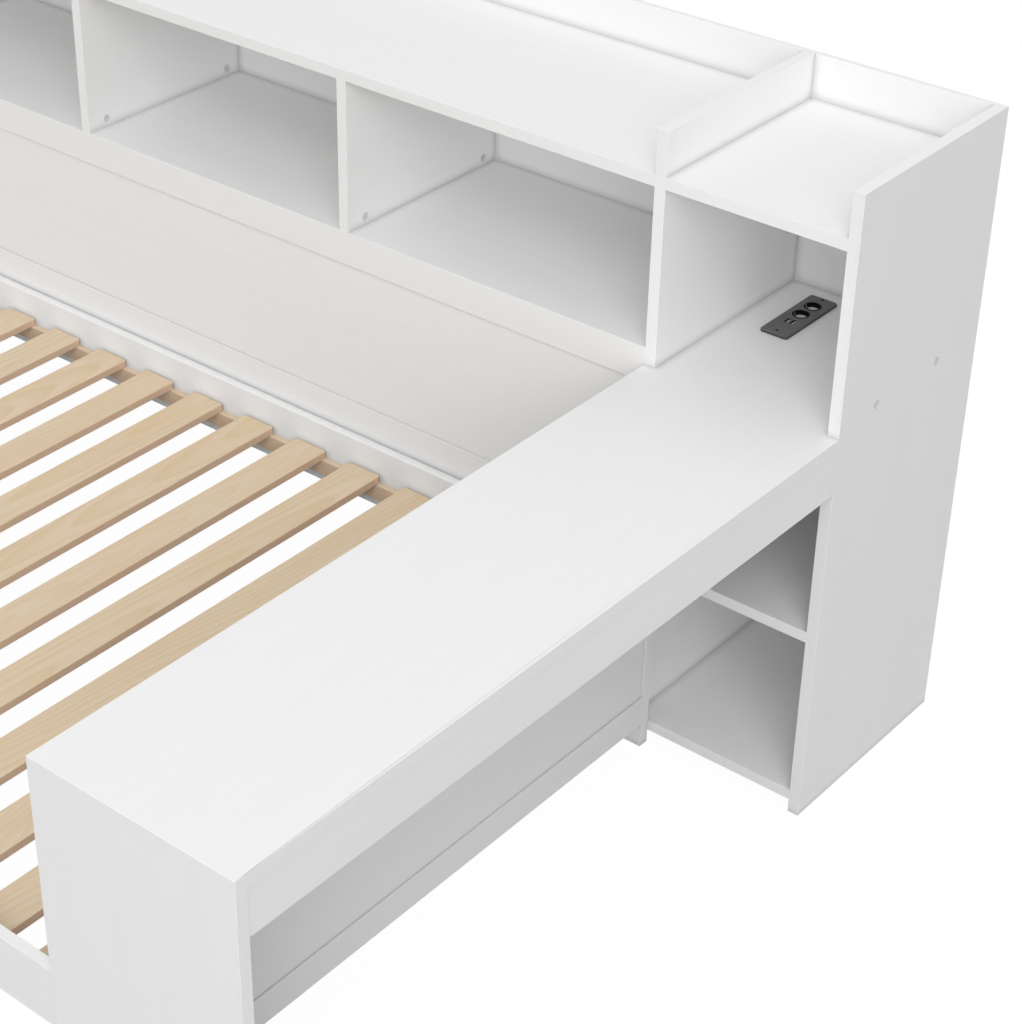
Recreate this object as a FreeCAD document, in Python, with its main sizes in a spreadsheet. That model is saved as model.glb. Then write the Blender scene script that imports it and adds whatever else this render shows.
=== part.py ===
"""Bed with a desk across its foot, a shelf tower at one corner and a bookcase along one side.

Laminated boards are joined by cam locks, thin panels sit in grooved rails, and wooden slats lie
on ledgers inside the side rails. The bed stands on z = 0 and is centred in x and y:
+X points to the desk end, +Y to the bookcase.
"""

import FreeCAD
import Part
import math
import os
import Sketcher
from types import SimpleNamespace
from FreeCAD import Placement, Rotation, Vector

# Driving dimensions in millimetres
SIZES = {
    # board stock
    "board_thickness": 16,
    "desk_top_thickness": 18,
    "back_thickness": 8,
    "panel_thickness": 5,
    "groove_depth": 8,
    "groove_play": 0.2,
    "panel_edge_play": 1,
    "panel_reveal": 3,
    # mattress and the room left round it
    "mattress_length": 1905,
    "mattress_width": 990,
    "length_play": 10,
    "width_play": 7,
    # tower, desk and bookcase
    "overall_height": 900,
    "rim_height": 60,
    "tower_depth": 327,
    "knee_depth": 246,
    "post_width": 39.5,
    "desk_height": 580,
    "apron_height": 62,
    "apron_setback": 1,
    "plinth_gap": 20,
    "middle_shelf_height": 291,
    "bay_height": 220,
    "bay_pitch": 515.5,
    "least_end_bay": 150,
    "upright_depth": 70,
    # frame and panel work
    "frame_rail_width": 50,
    "frame_rail_bottom": 288,
    "end_rail_width": 46,
    "end_rail_bottom": 38,
    # side rails, ledgers and slats
    "rail_bottom": 208,
    "rail_width": 82,
    "rail_reveal": 2,
    "rear_rail_drop": 12,
    "ledger_width": 10,
    "ledger_height": 25,
    "ledger_rise": 5,
    "slat_count": 18,
    "slat_width": 58.5,
    "slat_thickness": 12,
    "slat_end_play": 1.5,
    "slat_foot_inset": 36,
    "slat_head_inset": 44,
    "slat_corner_radius": 4,
    # cam locks
    "cam_radius": 6,
    "cam_play": 0.15,
    "cam_floor": 2.5,
    "cam_sink": 0.8,
    "cam_setback": 12,
    "cam_key_radius": 2.6,
    "cam_key_depth": 2.2,
    "divider_cam_front": 36,
    "divider_cam_rear": 28,
    "tower_cam_front": 83,
    "tower_cam_rear": 94,
    "bolt_radius": 3,
    "bolt_head_radius": 3.5,
    "bolt_head_length": 4.5,
    "bolt_play": 0.25,
    "thread_radius": 2.5,
    "thread_play": 0.1,
    "thread_length": 10,
    # power plate
    "plate_length": 123,
    "plate_width": 41,
    "plate_thickness": 4,
    "plate_corner_radius": 4,
    "plate_edge_chamfer": 0.8,
    "plate_side_gap": 44.6,
    "plate_rear_gap": 28,
    "plate_lip": 5,
    "cutout_front": 16,
    "cutout_rear": 11,
    "housing_play": 0.5,
    "housing_depth": 36,
    "well_radius": 10,
    "well_depth": 6,
    "well_floor_thickness": 1.5,
    "well_floor_play": 0.2,
    "front_well_place": 66,
    "rear_well_place": 94,
    "notch_reach": 2.2,
    "notch_width": 4,
    "port_place": 40.7,
    "port_pitch": 8.2,
    "port_length": 12,
    "port_width": 4.6,
    "port_depth": 10,
    "tongue_length": 10.4,
    "tongue_width": 1.6,
    "tongue_height": 13.2,
    "tongue_offset": 0.9,
    "gland_radius": 6,
    "gland_length": 8,
    "gland_bore_radius": 3.5,
    "gland_place": 12,
    "screw_front": 9.5,
    "screw_rear": 5,
    "screw_radius": 1.4,
    "screw_play": 0.1,
    "screw_length": 12,
    "screw_head_radius": 2.1,
    "screw_head_height": 1.5,
    "screw_sink": 0.4,
}

# The sketch plane square to each axis, the side of it that its normal points to, and its own two axes
PLANES = {
    "X": ("YZ_Plane", +1, "YZ"),
    "Y": ("XZ_Plane", -1, "XZ"),
    "Z": ("XY_Plane", +1, "XY"),
}
LEFT, RIGHT = Vector(-1, 0, 0), Vector(1, 0, 0)
DOWN, UP = Vector(0, 0, -1), Vector(0, 0, 1)
TOUCH = 1e-6
HEXAGON_SIDES = 6

doc = FreeCAD.newDocument("bed_with_desk")
sheet = doc.addObject("Spreadsheet::Sheet", "Sizes")
for row, (name, number) in enumerate(SIZES.items(), 1):
    sheet.set(f"A{row}", name)
    sheet.set(f"B{row}", str(number))
    sheet.setAlias(f"B{row}", name)
doc.recompute()


def written(size):
    """The expression of a size, or a plain number as text."""
    return size.text if isinstance(size, Size) else f"({size})"


class Size:
    """A length as an expression on the sheet: sums and differences of sizes stay bound to its cells."""

    def __init__(self, text):
        self.text = text

    def __add__(self, other):
        return Size(f"({self.text} + {written(other)})")

    def __sub__(self, other):
        return Size(f"({self.text} - {written(other)})")

    def __mul__(self, factor):
        return Size(f"({self.text} * {written(factor)})")

    def __truediv__(self, divisor):
        return Size(f"({self.text} / {written(divisor)})")

    def __neg__(self):
        return Size(f"(-1 * {self.text})")

    @property
    def value(self):
        return float(sheet.evalExpression(self.text))


size = SimpleNamespace(**{name: Size(f"Sizes.{name}") for name in SIZES})
ZERO = size.board_thickness * 0


def bind(sketch, constraint, length):
    """Adds a constraint whose value follows a size."""
    index = sketch.addConstraint(constraint)
    sketch.setExpression(f"Constraints[{index}]", length.text)


def pin(sketch, element, point, across, up):
    """Holds a point of a sketch at its two distances from the origin, or on an axis where one is nil."""
    for kind, own_axis, distance in (("DistanceX", -2, across), ("DistanceY", -1, up)):
        if abs(distance.value) < TOUCH:
            sketch.addConstraint(Sketcher.Constraint("PointOnObject", element, point, own_axis))
        else:
            bind(sketch, Sketcher.Constraint(kind, -1, 1, element, point, distance.value), distance)


def add_circle(sketch, across, up, radius):
    """A circle of a sketch, held by its centre and radius."""
    centre = Vector(across.value, up.value, 0)
    element = sketch.addGeometry(Part.Circle(centre, Vector(0, 0, 1), radius.value))
    pin(sketch, element, 3, across, up)
    bind(sketch, Sketcher.Constraint("Radius", element, radius.value), radius)


def add_hexagon(sketch, across, up, radius):
    """A regular hexagon of a sketch, held by the centre and radius of the circle through its corners."""
    centre = Vector(across.value, up.value, 0)
    turns = [2 * math.pi * k / HEXAGON_SIDES for k in range(HEXAGON_SIDES)]
    corners = [centre + Vector(math.cos(turn), math.sin(turn), 0) * radius.value for turn in turns]
    ring = sketch.addGeometry(Part.Circle(centre, Vector(0, 0, 1), radius.value), True)
    sides = [
        sketch.addGeometry(Part.LineSegment(corner, corners[(k + 1) % HEXAGON_SIDES]))
        for k, corner in enumerate(corners)
    ]
    for k, side in enumerate(sides):
        sketch.addConstraint(Sketcher.Constraint("Coincident", side, 2, sides[(k + 1) % HEXAGON_SIDES], 1))
        sketch.addConstraint(Sketcher.Constraint("PointOnObject", side, 1, ring))
    for side in sides[1:]:
        sketch.addConstraint(Sketcher.Constraint("Equal", sides[0], side))
    sketch.addConstraint(Sketcher.Constraint("Horizontal", ring, 3, sides[0], 1))
    pin(sketch, ring, 3, across, up)
    bind(sketch, Sketcher.Constraint("Radius", ring, radius.value), radius)


def add_rectangle(sketch, across, up, width, height):
    """A rectangle of a sketch, held by its low corner, width and height."""
    low = Vector(across.value, up.value, 0)
    span, rise = Vector(width.value, 0, 0), Vector(0, height.value, 0)
    corners = [low, low + span, low + span + rise, low + rise]
    sides = [
        sketch.addGeometry(Part.LineSegment(corner, corners[(k + 1) % 4])) for k, corner in enumerate(corners)
    ]
    for k, side in enumerate(sides):
        sketch.addConstraint(Sketcher.Constraint("Coincident", side, 2, sides[(k + 1) % 4], 1))
        sketch.addConstraint(Sketcher.Constraint("Vertical" if k % 2 else "Horizontal", side))
    bind(sketch, Sketcher.Constraint("DistanceX", sides[0], 1, sides[0], 2, width.value), width)
    bind(sketch, Sketcher.Constraint("DistanceY", sides[1], 1, sides[1], 2, height.value), height)
    pin(sketch, sides[0], 1, across, up)


class Piece:
    """A body whose sketches and cuts are placed from the part's own origin."""

    def __init__(self, label, low):
        self.body = doc.addObject("PartDesign::Body", label)
        self.body.Label = label
        self.low = dict(zip("XYZ", low))
        for axis, place in self.low.items():
            self.body.setExpression(f".Placement.Base.{axis.lower()}", place.text)

    def sketch(self, name, axis, level):
        """An empty sketch square to an axis, at a level along it."""
        plane_role, normal, _ = PLANES[axis]
        sketch = self.body.newObject("Sketcher::SketchObject", f"{self.body.Name}_{name}")
        plane = next(item for item in self.body.Origin.OriginFeatures if item.Role == plane_role)
        sketch.AttachmentSupport = [(plane, "")]
        sketch.MapMode = "FlatFace"
        sketch.setExpression("AttachmentOffset.Base.z", ((level - self.low[axis]) * normal).text)
        return sketch

    def profile(self, name, axis, level, circles=(), hexagons=(), rectangles=()):
        """A sketch of circles and hexagons (across, up, radius) and rectangles (pairs of planes)."""
        sketch = self.sketch(name, axis, level)
        first, second = PLANES[axis][2]
        for across, up, radius in circles:
            add_circle(sketch, across - self.low[first], up - self.low[second], radius)
        for across, up, radius in hexagons:
            add_hexagon(sketch, across - self.low[first], up - self.low[second], radius)
        for (left, right), (bottom, top) in rectangles:
            add_rectangle(
                sketch, left - self.low[first], bottom - self.low[second], right - left, top - bottom
            )
        return sketch

    def feature(self, kind, name, sketch, length, reverse):
        """A pad or pocket of a sketch, as long as a size says."""
        feature = self.body.newObject(f"PartDesign::{kind}", f"{self.body.Name}_{name}_{kind.lower()}")
        feature.Profile = sketch
        feature.Reversed = reverse
        feature.setExpression("Length", length.text)
        return feature

    def pad(self, name, axis, level, length, towards=1, **shapes):
        """Adds material along an axis from a level, the way that towards points."""
        sketch = self.profile(name, axis, level, **shapes)
        return self.feature("Pad", name, sketch, length, towards != PLANES[axis][1])

    def cut(self, name, axis, level, depth, towards, **shapes):
        """Takes material away along an axis from a level, the way that towards points."""
        sketch = self.profile(name, axis, level, **shapes)
        return self.feature("Pocket", name, sketch, depth, towards == PLANES[axis][1])

    def dress(self, kind, name, chosen, value_name, length):
        """Rounds or chamfers the edges of the last feature that chosen picks."""
        doc.recompute()
        base = self.body.Tip
        edges = [f"Edge{number}" for number, edge in enumerate(base.Shape.Edges, 1) if chosen(edge)]
        feature = self.body.newObject(f"PartDesign::{kind}", f"{self.body.Name}_{name}")
        feature.Base = (base, edges)
        feature.setExpression(value_name, length.text)


def is_upright(edge):
    """Whether an edge runs straight up."""
    along = edge.lastVertex().Point - edge.firstVertex().Point
    return along.Length > TOUCH and abs(abs(along.z) - along.Length) < TOUCH


def lies_at(height):
    """A test for edges that lie level at a height of their body."""
    return lambda edge: all(abs(vertex.Z - height.value) < TOUCH for vertex in edge.Vertexes)


def board(label, x, y, z):
    """A square-edged board between a low and a high face along each axis."""
    piece = Piece(label, (x[0], y[0], z[0]))
    piece.pad("outline", "Z", z[0], z[1] - z[0], rectangles=[(x, y)])
    return piece


def group(label, master, places):
    """Separate copies of one body, each at its own place and turn, as one named node."""
    copies = []
    for number, (place, turn) in enumerate(places, 1):
        copy = doc.addObject("App::Link", f"{label}_{number}")
        copy.LinkedObject = master
        copy.Placement = Placement(Vector(), turn)
        for axis, distance in zip("xyz", place):
            copy.setExpression(f".Placement.Base.{axis}", distance.text)
        copies.append(copy)
    compound = doc.addObject("Part::Compound", label)
    compound.Label = label
    compound.Links = copies
    return compound


# Planes of the whole bed, from its driving dimensions
bed_length = size.mattress_length + size.length_play
bed_width = size.mattress_width + size.width_play
tower_width = size.knee_depth + size.post_width
overall_length = size.knee_depth + bed_length + size.board_thickness * 2
overall_depth = bed_width + size.board_thickness * 2 + size.tower_depth

right_face = overall_length / 2
foot_outer = right_face - size.knee_depth
foot_inner = foot_outer - size.board_thickness
head_inner = foot_inner - bed_length
head_outer = head_inner - size.board_thickness
tower_left = right_face - tower_width
tower_left_inner = tower_left + size.board_thickness
tower_right_inner = right_face - size.board_thickness
head_post_edge = head_outer + size.post_width

front_face = -(overall_depth / 2)
front_inner = front_face + size.board_thickness
rear_inner = front_inner + bed_width
case_front = rear_inner + size.board_thickness
case_rear = case_front + size.tower_depth
back_front = case_rear - size.back_thickness
fascia_rear = case_front + size.board_thickness

desk_under = size.desk_height - size.desk_top_thickness
top_height = size.overall_height - size.rim_height
top_under = top_height - size.board_thickness
bay_floor = top_under - size.bay_height
bay_floor_under = bay_floor - size.board_thickness
fascia_bottom = bay_floor - size.frame_rail_width
frame_rail_top = size.frame_rail_bottom + size.frame_rail_width
end_rail_top = size.end_rail_bottom + size.end_rail_width
upper_end_rail_bottom = desk_under - size.end_rail_width
rail_top = size.rail_bottom + size.rail_width
ledger_bottom = size.rail_bottom + size.ledger_rise
ledger_top = ledger_bottom + size.ledger_height
groove_width = size.panel_thickness + size.groove_play * 2
bolt_bore_radius = size.bolt_head_radius + size.bolt_play
thread_bore_radius = size.thread_radius + size.thread_play
cam_bore_radius = size.cam_radius + size.cam_play
cam_depth = size.board_thickness - size.cam_floor

# Power plate: its edges on the desk, and the cut-out below it
plate_left = tower_left_inner + size.plate_side_gap
plate_right = plate_left + size.plate_width
plate_middle = plate_left + size.plate_width / 2
plate_rear = back_front - size.plate_rear_gap
plate_front = plate_rear - size.plate_length
cutout_x = (plate_left + size.plate_lip, plate_right - size.plate_lip)
cutout_y = (plate_front + size.cutout_front, plate_rear - size.cutout_rear)
plate_top = size.desk_height + size.plate_thickness
screw_places = (plate_front + size.screw_front, plate_rear - size.screw_rear)
well_places = (plate_front + size.front_well_place, plate_front + size.rear_well_place)
port_places = (plate_middle - size.port_pitch / 2, plate_middle + size.port_pitch / 2)
port_y = plate_front + size.port_place

pieces = []
discs = []
bolts = []


def keep(piece):
    """Lists a body or a group among the parts that are written out."""
    pieces.append(piece.body if isinstance(piece, Piece) else piece)
    return piece


def add_lock(disc_at, bolt_at, outward, mating):
    """Places a cam disc on a board's face and its bolt at the joint, which lies the mating way."""
    upward = mating * -1
    discs.append((disc_at, Rotation(upward.cross(outward), upward, outward, "ZYX")))
    bolts.append((bolt_at, Rotation(UP, upward)))


def centred(low, high, width):
    """The pair of planes that centres a width between two planes."""
    middle = (low + high) / 2
    return middle - width / 2, middle + width / 2


def locks_in_upright(piece, face, x, ends, places):
    """Cam pockets and bolt bores at the lower or upper edges of an upright board.

    face is the side of the board that shows the discs, and ends holds the edges used,
    each with the way from it into the board.
    """
    outward = LEFT if face is x[0] else RIGHT
    middle_x = (x[0] + x[1]) / 2
    inward = -1 if outward is RIGHT else 1
    centres = [(y, edge + size.cam_setback * way, way, edge) for edge, way in ends for y in places]
    pockets = [(y, z, cam_bore_radius) for y, z, _, _ in centres]
    piece.cut("cam_pockets", "X", face, cam_depth, inward, circles=pockets)
    for edge, way in ends:
        side = "lower" if way > 0 else "upper"
        bores = [(middle_x, y, bolt_bore_radius) for y in places]
        piece.cut(f"{side}_bolt_bores", "Z", edge, size.cam_setback, way, hexagons=bores)
    for y, z, way, edge in centres:
        add_lock((face, y, z), (middle_x, y, edge), outward, DOWN if way > 0 else UP)


def thread_bores(piece, face, towards, centres):
    """Blind bores in a level board that hold the threaded ends of the cam bolts."""
    bores = [(x, y, thread_bore_radius) for x, y in centres]
    piece.cut("thread_bores", "Z", face, size.thread_length, towards, hexagons=bores)


def build_desk():
    """Desk top with its rear notch, power cut-out and bores, on an end panel and an apron."""
    top_x, top_y = (tower_left, right_face), (front_face, case_rear)
    top = keep(board("desk_top", top_x, top_y, (desk_under, size.desk_height)))
    notch = ((tower_left_inner, tower_right_inner), (back_front, case_rear))
    cutout = (cutout_x, cutout_y)
    top.cut("openings", "Z", size.desk_height, size.desk_top_thickness, -1, rectangles=[notch, cutout])
    thread_bores(top, size.desk_height, -1, [(x, y) for x in side_middles for y in tower_cams])
    pilot_depth = size.screw_length + size.screw_sink + size.screw_head_height - size.plate_thickness
    pilots = [(plate_middle, y, size.screw_radius + size.screw_play) for y in screw_places]
    top.cut("screw_pilots", "Z", size.desk_height, pilot_depth, -1, hexagons=pilots)
    keep(board("desk_end_panel", top_x, (front_face, front_inner), (ZERO, desk_under)))
    apron_right = right_face - size.apron_setback
    apron_x = (apron_right - size.board_thickness, apron_right)
    apron_z = (desk_under - size.apron_height, desk_under)
    keep(board("desk_apron", apron_x, (front_inner, case_front), apron_z))


def build_tower():
    """Shelf tower: lower sides under the desk board, upper sides on it, shelves and one back."""
    depth = (case_front, case_rear)
    shelf_y = (case_front, back_front)
    shelf_x = (tower_left_inner, tower_right_inner)
    right_x, left_x = (tower_right_inner, right_face), (tower_left, tower_left_inner)
    keep(board("tower_lower_side_right", right_x, depth, (ZERO, desk_under)))
    keep(board("tower_lower_side_left", left_x, depth, (ZERO, desk_under)))
    bottom_z = (size.plinth_gap, size.plinth_gap + size.board_thickness)
    keep(board("tower_bottom_shelf", shelf_x, shelf_y, bottom_z))
    middle_z = (size.middle_shelf_height - size.board_thickness, size.middle_shelf_height)
    keep(board("tower_middle_shelf", shelf_x, shelf_y, middle_z))
    keep(board("tower_back", shelf_x, (back_front, case_rear), (size.plinth_gap, size.overall_height)))
    keep(board("tower_top_shelf", shelf_x, shelf_y, (top_under, top_height)))
    for side, x, face in (("right", right_x, right_x[1]), ("left", left_x, left_x[0])):
        upright = keep(board(f"tower_upper_side_{side}", x, depth, (size.desk_height, size.overall_height)))
        locks_in_upright(upright, face, x, [(size.desk_height, 1)], tower_cams)


def build_bookcase():
    """Bookcase along the bed: an end side, top, floor, back, dividers and the uprights that carry it."""
    run = (head_inner, tower_left)
    depth = (case_front, case_rear)
    keep(board("bookcase_end_side", (head_outer, head_inner), depth, (ZERO, size.overall_height)))
    cam_y = (case_front + size.divider_cam_front, back_front - size.divider_cam_rear)
    bores = [(x, y) for x in divider_middles for y in cam_y]
    top = keep(board("bookcase_top", run, (case_front, back_front), (top_under, top_height)))
    thread_bores(top, top_under, 1, bores)
    floor = keep(board("bookcase_floor", run, (fascia_rear, back_front), (bay_floor_under, bay_floor)))
    thread_bores(floor, bay_floor, -1, bores)
    keep(board("bookcase_back", run, (back_front, case_rear), (bay_floor_under, size.overall_height)))
    divider_y, divider_z = (case_front, back_front), (bay_floor, top_under)
    for number, middle in enumerate(divider_middles, 1):
        x = centred(middle, middle, size.board_thickness)
        divider = keep(board(f"bookcase_divider_{number}", x, divider_y, divider_z))
        locks_in_upright(divider, x[1], x, [(bay_floor, 1), (top_under, -1)], cam_y)
    upright_y, upright_z = (back_front - size.upright_depth, back_front), (ZERO, bay_floor_under)
    for number, middle in enumerate((divider_middles[0], divider_middles[-1]), 1):
        x = centred(middle, middle, size.board_thickness)
        keep(board(f"bookcase_upright_{number}", x, upright_y, upright_z))


def build_frame(names, x, y, lower, upper, face, inward):
    """Two grooved rails with a thin panel between them, set a little inward from the face that shows."""
    lower_name, upper_name, panel_name = names
    along_x = (x[1] - x[0]).value > (y[1] - y[0]).value
    middle = face + (size.panel_reveal + size.panel_thickness / 2) * inward
    groove_planes = centred(middle, middle, groove_width)
    panel_planes = centred(middle, middle, size.panel_thickness)
    groove = (x, groove_planes) if along_x else (groove_planes, y)
    panel = (x, panel_planes) if along_x else (panel_planes, y)
    lower_rail = keep(board(lower_name, x, y, lower))
    lower_rail.cut("groove", "Z", lower[1], size.groove_depth, -1, rectangles=[groove])
    upper_rail = keep(board(upper_name, x, y, upper))
    upper_rail.cut("groove", "Z", upper[0], size.groove_depth, 1, rectangles=[groove])
    panel_z = (lower[1] - size.groove_depth, upper[0] + size.groove_depth - size.panel_edge_play)
    keep(board(panel_name, *panel, panel_z))


def build_frames():
    """Frame-and-panel work: behind the bed, at its foot and at its head, with the posts between."""
    names = ("back_frame_lower_rail", "back_frame_upper_rail", "back_frame_panel")
    lower = (size.frame_rail_bottom, frame_rail_top)
    run, upper = (head_inner, tower_left), (fascia_bottom, bay_floor)
    build_frame(names, run, (case_front, fascia_rear), lower, upper, case_front, 1)
    lower = (size.end_rail_bottom, end_rail_top)
    upper = (upper_end_rail_bottom, desk_under)
    between = (front_inner, rear_inner)
    names = ("foot_lower_rail", "foot_upper_rail", "foot_panel")
    build_frame(names, (foot_inner, foot_outer), between, lower, upper, foot_outer, -1)
    names = ("head_lower_rail", "head_upper_rail", "head_panel")
    build_frame(names, (head_outer, head_inner), between, lower, upper, head_outer, 1)
    post_z = (ZERO, desk_under)
    rear_y = (rear_inner, case_front)
    keep(board("foot_post", (tower_left, foot_outer), rear_y, post_z))
    keep(board("head_rear_post", (head_outer, head_post_edge), rear_y, post_z))
    keep(board("head_front_post", (head_outer, head_post_edge), (front_face, front_inner), post_z))


def build_slat_bed():
    """Side rails, the ledgers on their inner faces and the slats that lie on the ledgers."""
    rail_x = (head_post_edge, tower_left)
    front_z = (size.rail_bottom, rail_top)
    rear_z = (size.rail_bottom - size.rear_rail_drop, rail_top)
    ledger_z = (ledger_bottom, ledger_top)
    front_y = (front_face + size.rail_reveal, front_inner)
    rear_y = (rear_inner, case_front - size.rail_reveal)
    keep(board("side_rail_front", rail_x, front_y, front_z))
    keep(board("side_rail_rear", rail_x, rear_y, rear_z))
    ledger_x = (head_inner, foot_inner)
    keep(board("slat_ledger_front", ledger_x, (front_inner, front_inner + size.ledger_width), ledger_z))
    keep(board("slat_ledger_rear", ledger_x, (rear_inner - size.ledger_width, rear_inner), ledger_z))
    count = int(size.slat_count.value)
    run = bed_length - size.slat_foot_inset - size.slat_head_inset - size.slat_width
    pitch = run / (size.slat_count - 1)
    slat_y = (front_inner + size.slat_end_play, rear_inner - size.slat_end_play)
    for number in range(count):
        right = foot_inner - size.slat_foot_inset - pitch * number
        slat_z = (ledger_top, ledger_top + size.slat_thickness)
        slat = keep(board(f"slat_{number + 1:02d}", (right - size.slat_width, right), slat_y, slat_z))
        slat.dress("Fillet", "corners", is_upright, "Radius", size.slat_corner_radius)


def build_power_plate():
    """Power plate on the desk: a moulded plate with wells and ports, its housing, inserts and screws."""
    plate = Piece("socket_plate", (plate_left, plate_front, size.desk_height))
    outline = ((plate_left, plate_right), (plate_front, plate_rear))
    plate.pad("outline", "Z", size.desk_height, size.plate_thickness, rectangles=[outline])
    plate.dress("Fillet", "corners", is_upright, "Radius", size.plate_corner_radius)
    plate.dress("Chamfer", "eased_rim", lies_at(size.plate_thickness), "Size", size.plate_edge_chamfer)
    wells = [(plate_middle, y, size.well_radius) for y in well_places]
    ports = [(centred(x, x, size.port_width), centred(port_y, port_y, size.port_length)) for x in port_places]
    shanks = [(plate_middle, y, size.screw_radius + size.screw_play) for y in screw_places]
    heads = [(plate_middle, y, size.screw_head_radius + size.screw_play) for y in screw_places]
    head_depth = size.screw_sink + size.screw_head_height
    plate.cut("openings", "Z", plate_top, size.plate_thickness, -1, circles=wells, rectangles=ports)
    notch_x = centred(plate_middle, plate_middle, (size.well_radius + size.notch_reach) * 2)
    notches = [(notch_x, centred(y, y, size.notch_width)) for y in well_places]
    plate.cut("clip_notches", "Z", plate_top, size.plate_thickness, -1, rectangles=notches)
    plate.cut("screw_holes", "Z", plate_top, size.plate_thickness, -1, hexagons=shanks)
    plate.cut("screw_seats", "Z", plate_top, head_depth, -1, circles=heads)
    keep(plate)

    housing_x = (cutout_x[0] + size.housing_play, cutout_x[1] - size.housing_play)
    housing_y = (cutout_y[0] + size.housing_play, cutout_y[1] - size.housing_play)
    housing_bottom = size.desk_height - size.housing_depth
    housing = keep(board("socket_housing", housing_x, housing_y, (housing_bottom, size.desk_height)))
    well_floor = plate_top - size.well_depth
    well_seat = well_floor - size.well_floor_thickness
    housing.cut("wells", "Z", size.desk_height, size.desk_height - well_seat, -1, circles=wells)
    housing.cut("ports", "Z", size.desk_height, size.port_depth, -1, rectangles=ports)
    gland = (plate_middle, housing_y[1] - size.gland_place)
    housing.pad("gland", "Z", housing_bottom, size.gland_length, -1, hexagons=[(*gland, size.gland_radius)])
    bore_depth = size.gland_length * 2
    gland_end = housing_bottom - size.gland_length
    housing.cut("gland_bore", "Z", gland_end, bore_depth, 1, circles=[(*gland, size.gland_bore_radius)])

    inserts = []
    floor_radius = size.well_radius - size.well_floor_play
    for number, y in enumerate(well_places, 1):
        floor = Piece(f"well_floor_{number}", (plate_middle - floor_radius, y - floor_radius, well_seat))
        circle = (plate_middle, y, floor_radius)
        floor.pad("outline", "Z", well_seat, size.well_floor_thickness, circles=[circle])
        inserts.append(floor.body)
    port_floor = size.desk_height - size.port_depth
    tongue_y = centred(port_y, port_y, size.tongue_length)
    tongue_z = (port_floor, port_floor + size.tongue_height)
    for number, x in enumerate(port_places, 1):
        tongue_x = centred(x + size.tongue_offset, x + size.tongue_offset, size.tongue_width)
        inserts.append(board(f"port_tongue_{number}", tongue_x, tongue_y, tongue_z).body)
    inserts_node = doc.addObject("Part::Compound", "socket_inserts")
    inserts_node.Label = "socket_inserts"
    inserts_node.Links = inserts
    keep(inserts_node)

    screw = Piece("plate_screw", (ZERO, ZERO, ZERO))
    screw.pad("shank", "Z", -size.screw_length, size.screw_length, hexagons=[(ZERO, ZERO, size.screw_radius)])
    screw.pad("head", "Z", ZERO, size.screw_head_height, circles=[(ZERO, ZERO, size.screw_head_radius)])
    seat = plate_top - head_depth
    keep(group("plate_screws", screw.body, [((plate_middle, y, seat), Rotation()) for y in screw_places]))


def build_cam_locks():
    """Cam discs and bolts: a disc's slot takes the bolt's head, and its thread holds in the mating board."""
    disc = Piece("cam_disc", (ZERO, ZERO, ZERO))
    disc_height = cam_depth - size.cam_sink
    disc.pad("outline", "Z", -cam_depth, disc_height, circles=[(ZERO, ZERO, size.cam_radius)])
    middle = -(size.board_thickness / 2)
    slot_x = (-bolt_bore_radius, bolt_bore_radius)
    slot_z = (middle - bolt_bore_radius, middle + bolt_bore_radius)
    slot_depth = size.cam_radius + size.bolt_head_length / 2 + size.bolt_play
    disc.cut("bolt_slot", "Y", -size.cam_radius, slot_depth, 1, rectangles=[(slot_x, slot_z)])
    key = (ZERO, ZERO, size.cam_key_radius)
    disc.cut("key_recess", "Z", -size.cam_sink, size.cam_key_depth, -1, hexagons=[key])
    keep(group("cam_discs", disc.body, discs))

    bolt = Piece("cam_bolt", (ZERO, ZERO, ZERO))
    thread = (ZERO, ZERO, size.thread_radius)
    bolt.pad("thread", "Z", -size.thread_length, size.thread_length, hexagons=[thread])
    head_bottom = size.cam_setback - size.bolt_head_length / 2
    bolt.pad("shaft", "Z", ZERO, head_bottom, hexagons=[(ZERO, ZERO, size.bolt_radius)])
    bolt.pad("head", "Z", head_bottom, size.bolt_head_length, hexagons=[(ZERO, ZERO, size.bolt_head_radius)])
    keep(group("cam_bolts", bolt.body, bolts))


def check(parts):
    """Stops before anything is written if a feature failed, cut nothing or left no solid."""
    for item in doc.Objects:
        if {"Invalid", "Error"} & set(item.State):
            raise RuntimeError(f"{item.Name} failed: {item.State}")
        if item.TypeId == "PartDesign::Pocket" and item.Shape.Volume > item.BaseFeature.Shape.Volume - TOUCH:
            raise RuntimeError(f"{item.Name} takes nothing away")
    for item in parts:
        if item.Shape.isNull() or not item.Shape.isValid() or not item.Shape.Solids:
            raise RuntimeError(f"{item.Label} has no sound solid")


tower_cams = (case_front + size.tower_cam_front, back_front - size.tower_cam_rear)
side_middles = (tower_left + size.board_thickness / 2, right_face - size.board_thickness / 2)
bays = (side_middles[0] - head_inner - size.least_end_bay) / size.bay_pitch
divider_middles = [side_middles[0] - size.bay_pitch * number for number in range(1, int(bays.value) + 1)]

build_desk()
build_tower()
build_bookcase()
build_frames()
build_slat_bed()
build_power_plate()
build_cam_locks()
doc.recompute()
check(pieces)

os.makedirs("parts", exist_ok=True)
for piece in pieces:
    piece.Shape.exportStep(os.path.join("parts", f"{piece.Label}.step"))
whole = Part.makeCompound([piece.Shape for piece in pieces]).BoundBox
print(f"{len(pieces)} nodes, {whole.XLength:.1f} x {whole.YLength:.1f} x {whole.ZLength:.1f} mm")
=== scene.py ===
"""Bed with desk: eased boards, sanded slats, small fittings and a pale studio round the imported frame."""

import logging
import math
from collections.abc import Callable, Iterator
from contextlib import contextmanager
from dataclasses import dataclass
from enum import Enum
from typing import ClassVar

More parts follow.
